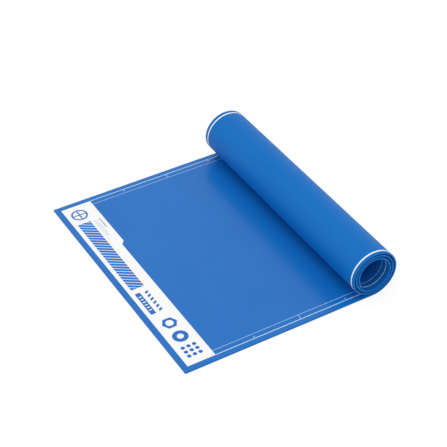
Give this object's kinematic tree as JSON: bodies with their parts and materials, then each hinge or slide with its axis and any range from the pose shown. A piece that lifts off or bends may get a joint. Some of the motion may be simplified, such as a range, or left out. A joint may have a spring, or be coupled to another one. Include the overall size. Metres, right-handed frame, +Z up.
{
  "type": "antistatic mat",
  "caption": "Thin rectangular antistatic rubber work mat, flat at one end and rolled up on itself at the other, with a printed edge panel and border lines.",
  "frame": {"origin": "middle of the mat's footprint at floor level, under the flat run", "axes": "+Y along the roll, +X from the free edge towards the roll, +Z up from the floor"},
  "size_m": [0.2518, 0.3, 0.056],
  "materials": {
    "mat_rubber": "smooth satin rubber, mid blue",
    "printed_ink": "thin white screen print, with the rubber left bare where its marks are blue"
  },
  "bodies": {
    "root": {"mat": "mat_rubber"}
  },
  "joints": []
}
